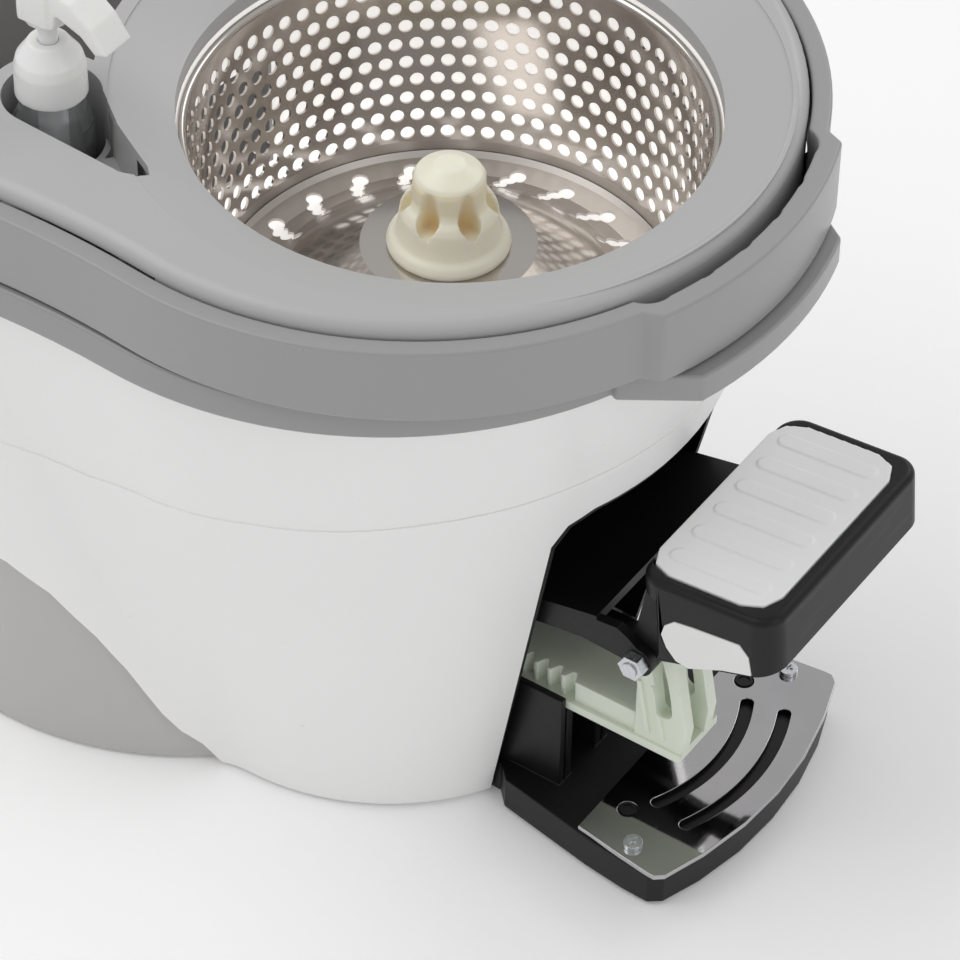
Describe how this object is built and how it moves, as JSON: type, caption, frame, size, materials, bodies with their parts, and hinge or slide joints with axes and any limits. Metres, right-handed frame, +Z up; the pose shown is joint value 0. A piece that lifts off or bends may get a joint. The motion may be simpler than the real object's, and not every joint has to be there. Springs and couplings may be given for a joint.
{
  "type": "spin mop wringer bucket",
  "caption": "Pedal-driven spin mop bucket with a perforated steel wringer basket, wash basin, folding carrying handle and soap pump.",
  "frame": {"origin": "On the floor, under the middle of the bucket's whole length and width", "axes": "+Z up, +X along the length from the wash basin towards the foot pedal, +Y to the left of a person facing the pedal end from the basin"},
  "size_m": [0.4726, 0.314, 0.3524],
  "materials": {
    "tub_plastic": "light grey polypropylene, satin",
    "shell_plastic": "white, smooth satin gloss",
    "deck_plastic": "light grey, fine satin",
    "band_plastic": "mid grey, satin",
    "handle_plastic": "mid grey, satin",
    "black_plastic": "black, fine matt grain",
    "white_plastic": "white, matt",
    "hub_plastic": "cream, slightly translucent",
    "nylon": "natural nylon, greenish white",
    "acetal": "natural acetal, low sheen",
    "pad_plastic": "white, ribbed, satin",
    "stainless": "pressed stainless sheet, bright",
    "machined_steel": "turned steel",
    "zinc_steel": "zinc plated",
    "mirror_plate": "polished plate",
    "spring_steel": "bright spring wire",
    "rubber": "black, matt",
    "clear_plastic": "clear moulded bottle, smooth",
    "pump_plastic": "white, smooth"
  },
  "bodies": {
    "body": {"inner_tub": "tub_plastic", "outer_shell": "shell_plastic", "arch_liner": "black_plastic", "rim_band": "band_plastic", "deck_cover": "deck_plastic", "handle_pins": "handle_plastic", "base_housing": "black_plastic", "tread_plate": "mirror_plate", "tread_screws": "zinc_steel", "hole_plugs": "black_plastic", "rubber_feet": "rubber", "base_screws": "zinc_steel", "upper_bearing": "acetal", "water_seal": "rubber", "lower_bearing": "acetal", "idler_axle": "machined_steel", "pivot_pin": "zinc_steel", "pivot_clip": "zinc_steel", "return_spring": "spring_steel"},
    "basket": {"basket_wall": "stainless", "basket_rim": "stainless", "basket_floor": "stainless", "hub_collar": "machined_steel", "mop_hub": "hub_plastic", "drive_shaft": "machined_steel", "clutch_collar": "acetal", "shaft_clip": "spring_steel"},
    "drive_gear": {"drive_gear": "acetal"},
    "idler": {"idler_pinion": "acetal", "idler_wheel": "acetal"},
    "rack": {"drive_rack": "nylon"},
    "pedal": {"pedal_arm": "black_plastic", "pedal_frame": "black_plastic", "side_inserts": "white_plastic", "foot_pad": "pad_plastic", "cam_bolt": "zinc_steel", "lock_nut": "zinc_steel"},
    "handle": {"carrying_handle": "handle_plastic"},
    "soap_bottle": {"soap_bottle": "clear_plastic", "pump_cap": "pump_plastic", "pump_barrel": "pump_plastic", "dip_tube": "clear_plastic", "pump_spring": "spring_steel"},
    "pump": {"pump_stem": "pump_plastic", "pump_head": "pump_plastic"}
  },
  "joints": [
    {"name": "basket_spin", "type": "hinge", "parent": "body", "child": "basket", "pos_m": [0.0546, 0, 0.2], "axis": [0, 0, 1], "continuous": true},
    {"name": "pedal_press", "type": "hinge", "parent": "body", "child": "pedal", "pos_m": [0.0796, 0, 0.105], "axis": [0, 1, 0], "range_deg": [0, 18], "stiffness_Nm_per_rad": 3, "springref_deg": -28.65},
    {"name": "rack_slide", "type": "slide", "parent": "body", "child": "rack", "axis": [-1, 0, 0], "range_m": [0, 0.0103]},
    {"name": "idler_spin", "type": "hinge", "parent": "body", "child": "idler", "pos_m": [0.0646, -0.048, 0.07], "axis": [0, 0, 1], "range_deg": [0, 59]},
    {"name": "drive_gear_spin", "type": "hinge", "parent": "body", "child": "drive_gear", "pos_m": [0.0546, 0, 0.08], "axis": [0, 0, 1], "range_deg": [-268, 0]},
    {"name": "handle_lift", "type": "hinge", "parent": "body", "child": "handle", "pos_m": [-0.0764, 0, 0.2775], "axis": [0, -1, 0], "range_deg": [0, 120]},
    {"name": "bottle_lift", "type": "slide", "parent": "body", "child": "soap_bottle", "axis": [0, 0, 1], "range_m": [0, 0.11]},
    {"name": "pump_press", "type": "slide", "parent": "soap_bottle", "child": "pump", "axis": [0, 0, -1], "range_m": [0, 0.008], "stiffness_N_per_m": 300, "springref_m": -0.003, "deforming": ["pump_spring"]}
  ],
  "couplings": [
    {"joint": "rack_slide", "follows": "pedal_press", "m_per_rad": 0.0325},
    {"joint": "idler_spin", "follows": "pedal_press", "ratio": 3.25},
    {"joint": "drive_gear_spin", "follows": "pedal_press", "ratio": -14.857}
  ]
}
